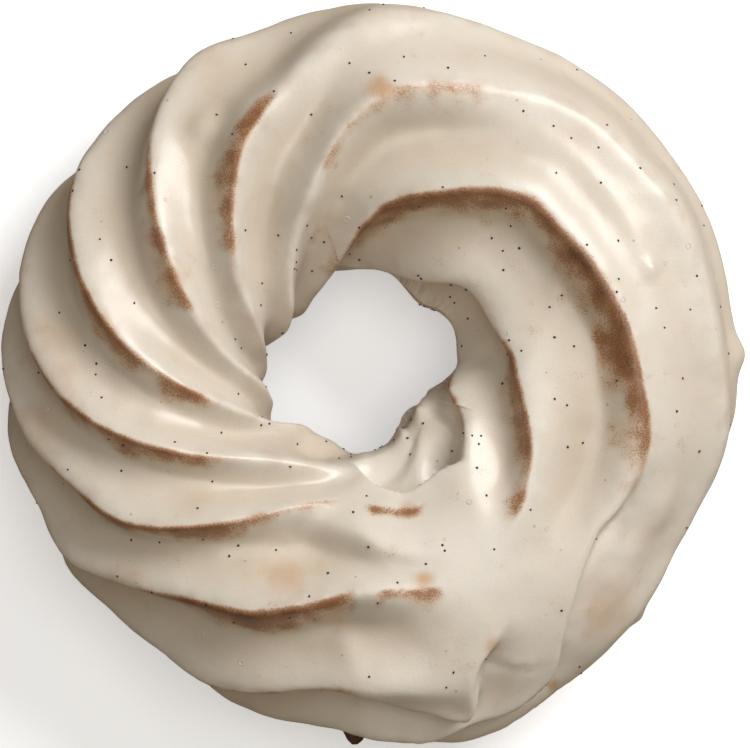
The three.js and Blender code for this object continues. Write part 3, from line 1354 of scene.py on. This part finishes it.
@dataclass
class Seeds:
    """The vanilla seeds that lie in the glaze's face."""

    surfaces: Surfaces
    count: int = 230
    seed: int = 11
    radius: float = 0.18 * MM
    sunk: float = 0.02
    rolls: tuple[float, float] = (-25.0, 195.0)
    stretch: tuple[float, float] = (0.8, 1.15)

    def build(self) -> bpy.types.Object:
        """Scatters the seeds and joins them as one piece.

        Returns:
            The seeds.
        """
        draw = np.random.default_rng(self.seed)
        ring = draw.uniform(0.0, 360.0, self.count)
        roll = draw.uniform(*self.rolls, self.count)
        skin = self.surfaces.glaze_depth(ring, roll)
        places = self.surfaces.outer_face(ring, roll, skin + self.sunk)
        deselect_all()
        made = []
        for place in places:
            bpy.ops.mesh.primitive_uv_sphere_add(
                segments=8, ring_count=5, radius=self.radius, location=place
            )
            grain = bpy.context.object
            grain.scale = draw.uniform(*self.stretch, 3)
            made.append(grain)
        piece = joined(made, "vanilla_seeds")
        piece.data.materials.append(SeedBlack().material())
        return piece


@dataclass
class Bubbles:
    """Small burst bubbles, each a low ring of glaze."""

    surfaces: Surfaces
    count: int = 24
    seed: int = 5
    rolls: tuple[float, float] = (10.0, 150.0)
    sizes: tuple[float, float] = (0.2, 0.4)
    tube_share: float = 0.26
    sunk_share: float = 0.08

    def build(self) -> bpy.types.Object:
        """Lays the rings on the glaze and joins them as one piece.

        Returns:
            The bubbles.
        """
        draw = np.random.default_rng(self.seed)
        ring = draw.uniform(0.0, 360.0, self.count)
        roll = draw.uniform(*self.rolls, self.count)
        middles, along, across = (
            self.surfaces.glaze_face(ring + step, roll + lift)
            for step, lift in ((0.0, 0.0), (0.8, 0.0), (0.0, 1.5))
        )
        deselect_all()
        made = []
        for middle, ahead, up in zip(middles, along, across):
            facing = Vector(np.cross(ahead - middle, up - middle)).normalized()
            size = draw.uniform(*self.sizes) * MM
            bpy.ops.mesh.primitive_torus_add(
                major_segments=14,
                minor_segments=6,
                major_radius=size,
                minor_radius=self.tube_share * size,
                location=Vector(middle) - facing * self.sunk_share * size,
                rotation=facing.to_track_quat("Z", "Y").to_euler(),
            )
            made.append(bpy.context.object)
        piece = joined(made, "glaze_bubbles")
        piece.data.materials.append(bpy.data.materials[SpeckledCream().name])
        return piece


@dataclass(frozen=True)
class Lamp:
    """One square area light.

    Attributes:
        name: The light's name.
        heading: Its direction from the object, in degrees from +X.
        height: Its elevation, in degrees.
        away: Its distance, in metres.
        size: The length of its side, in metres.
        power: Its power, in watts.
        tint: Its colour.
    """

    name: str
    heading: float
    height: float
    away: float
    size: float
    power: float
    tint: tuple[float, float, float] = (1.0, 1.0, 1.0)


@dataclass
class Studio:
    """The floor, the lights and the camera. Sizes are in metres and angles in degrees."""

    middle: Vector
    tilt: float = 3.0
    tilt_heading: float = 225.0
    distance: float = 0.62
    lens: float = 225.0
    aim_drop: float = 0.5 * MM
    floor_size: float = 6.0
    floor_seen: tuple[float, float, float, float] = (0.9, 0.9, 0.9, 1.0)
    floor_cast: tuple[float, float, float, float] = (0.34, 0.28, 0.21, 1.0)
    floor_glow: float = 0.4
    room: tuple[float, float, float, float] = (1.0, 0.9, 0.74, 1.0)
    room_strength: float = 0.1
    lamps: tuple[Lamp, ...] = (
        Lamp("key", 45.0, 38.0, 0.9, 0.45, 7.2),
        Lamp("overhead", 45.0, 85.0, 0.9, 0.6, 2.6),
        Lamp("fill", 250.0, 50.0, 0.9, 0.6, 0.9, WARM),
    )

    def floor(self) -> None:
        """A plain pale floor, which looks lighter to the camera than the light it casts back."""
        deselect_all()
        bpy.ops.mesh.primitive_plane_add(size=self.floor_size, location=(0, 0, CAD_BOX[0][2]))
        floor = bpy.context.object
        floor.name = "floor"
        material = bpy.data.materials.new("pale_floor")
        material.use_nodes = True
        nodes, links = material.node_tree.nodes, material.node_tree.links
        shader = nodes["Principled BSDF"]
        seen = nodes.new("ShaderNodeLightPath").outputs["Is Camera Ray"]
        tone = nodes.new("ShaderNodeMix")
        tone.data_type = "RGBA"
        tone.inputs[6].default_value = self.floor_cast
        tone.inputs[7].default_value = self.floor_seen
        links.new(seen, tone.inputs[0])
        links.new(tone.outputs[2], shader.inputs["Base Color"])
        glow = nodes.new("ShaderNodeMath")
        glow.operation = "MULTIPLY"
        glow.inputs[1].default_value = self.floor_glow
        links.new(seen, glow.inputs[0])
        links.new(glow.outputs[0], shader.inputs["Emission Strength"])
        shader.inputs["Emission Color"].default_value = (1.0, 1.0, 1.0, 1.0)
        shader.inputs["Roughness"].default_value = 0.9
        shader.inputs["Specular IOR Level"].default_value = 0.1
        floor.data.materials.append(material)

    def hang(self, lamp: Lamp) -> None:
        """Adds one light, turned towards the object.

        Args:
            lamp: What the light is like and where it hangs.
        """
        bpy.ops.object.light_add(type="AREA")
        light = bpy.context.object
        light.name = lamp.name
        light.data.size = lamp.size
        light.data.energy = lamp.power
        light.data.color = lamp.tint
        turn, lift = math.radians(lamp.heading), math.radians(lamp.height)
        flat = math.cos(lift)
        way = Vector((math.cos(turn) * flat, math.sin(turn) * flat, math.sin(lift)))
        light.location = self.middle + way * lamp.away
        light.rotation_euler = way.to_track_quat("Z", "Y").to_euler()

    def lights(self) -> None:
        """A soft key, a weak fill and a pale room."""
        world = bpy.data.worlds.new("pale_room")
        world.use_nodes = True
        background = world.node_tree.nodes["Background"]
        background.inputs["Color"].default_value = self.room
        background.inputs["Strength"].default_value = self.room_strength
        bpy.context.scene.world = world
        for lamp in self.lamps:
            self.hang(lamp)

    def camera(self) -> None:
        """A long lens that looks down on the ring."""
        tilt, heading = math.radians(self.tilt), math.radians(self.tilt_heading)
        flat = math.sin(tilt)
        away = Vector((flat * math.cos(heading), flat * math.sin(heading), math.cos(tilt)))
        right = Vector((1, 0, 0)) - away * away.x
        right.normalize()
        up = away.cross(right)
        bpy.ops.object.camera_add()
        camera = bpy.context.object
        camera.name = "camera"
        camera.data.lens = self.lens
        camera.data.clip_start = 0.01
        turn = Matrix((right, up, away)).transposed().to_4x4()
        aim = self.middle + Vector((0.0, -self.aim_drop, 0.0))
        camera.matrix_world = Matrix.Translation(aim + away * self.distance) @ turn
        bpy.context.scene.camera = camera

    def build(self) -> None:
        """Sets up everything that isn't part of the object."""
        self.floor()
        self.lights()
        self.camera()
        bpy.context.scene.view_settings.view_transform = "Standard"


def centred(surfaces: Surfaces) -> None:
    """Moves the strand so that its outline's middle is where the CAD's is.

    Args:
        surfaces: The surfaces, whose shift is set.
    """
    ring = np.repeat(np.arange(0.0, 360.0, 1.0), 36)
    roll = np.tile(np.arange(0.0, 360.0, 10.0), 360)
    places = surfaces.glaze_face(ring, roll)
    low, high = places.min(axis=0), places.max(axis=0)
    middle = (np.array(CAD_BOX[0]) + np.array(CAD_BOX[1])) / 2
    surfaces.shift = middle - (low + high) / 2
    surfaces.shift[2] = CAD_BOX[0][2]


def main() -> None:
    """Builds the doughnut, piece by piece, and then the studio round it."""
    logging.basicConfig(level=logging.INFO, format="%(name)s: %(message)s")
    surfaces = Surfaces()
    centred(surfaces)
    glaze = Glaze(surfaces).build()
    crust = Crust(surfaces).build()
    seeds = Seeds(surfaces).build()
    bubbles = Bubbles(surfaces).build()
    slots = {glaze: "sugar_glaze", crust: "fried_dough", seeds: "sugar_glaze", bubbles: "sugar_glaze"}
    for piece, slot in slots.items():
        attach(piece, "root")
        LOG.info("%s has %d faces", piece.name, len(piece.data.polygons))
    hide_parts("glaze")
    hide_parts("dough_ring")
    low, high = (Vector(corner) for corner in CAD_BOX)
    Studio((low + high) / 2).build()


if __name__ == "__main__":
    main()
